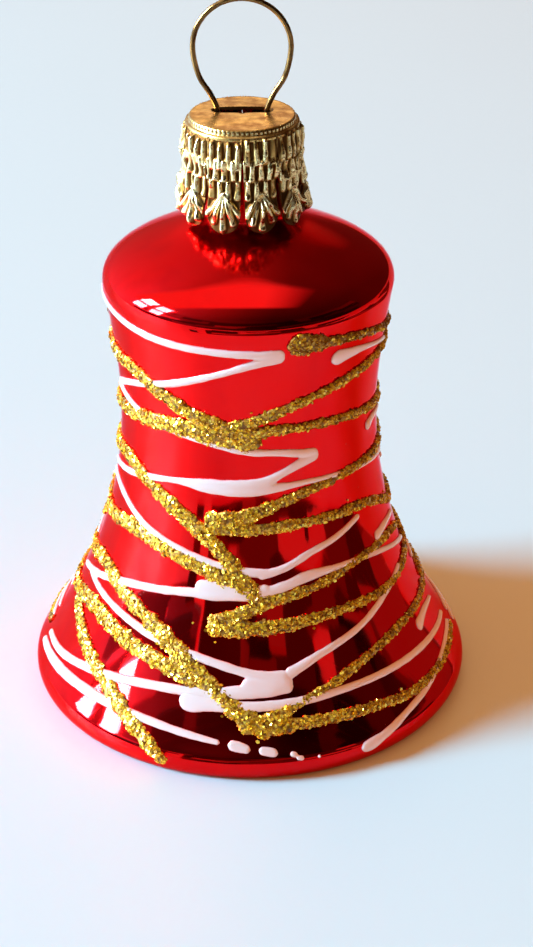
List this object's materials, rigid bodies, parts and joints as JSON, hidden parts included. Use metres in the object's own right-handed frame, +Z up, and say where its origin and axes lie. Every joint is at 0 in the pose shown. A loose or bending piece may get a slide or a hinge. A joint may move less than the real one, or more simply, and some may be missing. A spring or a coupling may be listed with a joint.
{
  "type": "christmas bell ornament",
  "caption": "Hanging bell-shaped ornament of red mirrored glass with glitter and enamel trails, a crimped metal crown cap, a wire loop hanger and a swinging bead clapper",
  "frame": {"origin": "centre of the object's footprint, on the plane that its rim stands on", "axes": "+Z up along the bell's axis, the pictured front faces -Y, +X to the viewer's right"},
  "size_m": [0.052, 0.052, 0.0825],
  "materials": {
    "red_glass": "silvered glass under transparent red lacquer, mirror bright",
    "cap_metal": "stamped thin sheet, bright pale gold, darkened in the creases",
    "hanger_metal": "bright drawn wire",
    "clapper_metal": "plain drawn wire",
    "bead_glass": "glossy glass bead with a lustre",
    "gold_glitter": "coarse gold glitter set in glue",
    "white_enamel": "raised glossy white enamel"
  },
  "bodies": {
    "bell": {"glass_bell": "red_glass", "clapper_bridge": "clapper_metal", "gold_trail_lower_1": "gold_glitter", "gold_trail_lower_2": "gold_glitter", "gold_trail_middle_1": "gold_glitter", "gold_trail_middle_2": "gold_glitter", "gold_trail_shoulder_1": "gold_glitter", "gold_trail_shoulder_2": "gold_glitter", "gold_trail_turn_1": "gold_glitter", "gold_trail_turn_2": "gold_glitter", "gold_trail_upper_1": "gold_glitter", "gold_trail_upper_2": "gold_glitter", "white_dash_a_1": "white_enamel", "white_dash_a_2": "white_enamel", "white_dash_b_1": "white_enamel", "white_dash_b_2": "white_enamel", "white_tear_a_1": "white_enamel", "white_tear_a_2": "white_enamel", "white_tear_b_1": "white_enamel", "white_tear_b_2": "white_enamel", "white_tear_c_1": "white_enamel", "white_tear_c_2": "white_enamel", "white_tear_d_1": "white_enamel", "white_tear_d_2": "white_enamel", "white_trail_band_1": "white_enamel", "white_trail_band_2": "white_enamel", "white_trail_lower_1": "white_enamel", "white_trail_lower_2": "white_enamel", "white_trail_middle_1": "white_enamel", "white_trail_middle_2": "white_enamel", "white_trail_rim_1": "white_enamel", "white_trail_rim_2": "white_enamel", "white_trail_rim_end_1": "white_enamel", "white_trail_rim_end_2": "white_enamel", "white_trail_upper_1": "white_enamel", "white_trail_upper_2": "white_enamel"},
    "cap": {"crown_cap": "cap_metal"},
    "hanger": {"hanger_wire": "hanger_metal"},
    "clapper": {"clapper_wire": "clapper_metal"},
    "bead": {"clapper_bead": "bead_glass", "clapper_bead_wire": "clapper_metal"}
  },
  "joints": [
    {"name": "cap_lift", "type": "slide", "parent": "bell", "child": "cap", "axis": [0, 0, 1], "range_m": [0, 0.0105]},
    {"name": "hanger_rock", "type": "hinge", "parent": "cap", "child": "hanger", "pos_m": [-0.0005, 0.0009, 0.06945], "axis": [1, 0, 0], "range_deg": [-8, 8]},
    {"name": "clapper_swing", "type": "hinge", "parent": "bell", "child": "clapper", "pos_m": [0, 0, 0.0669], "axis": [0, 1, 0], "range_deg": [-14.5, 14.5]},
    {"name": "bead_swing", "type": "hinge", "parent": "clapper", "child": "bead", "pos_m": [0, 0, 0.01771], "axis": [1, 0, 0], "range_deg": [-20, 20]}
  ]
}
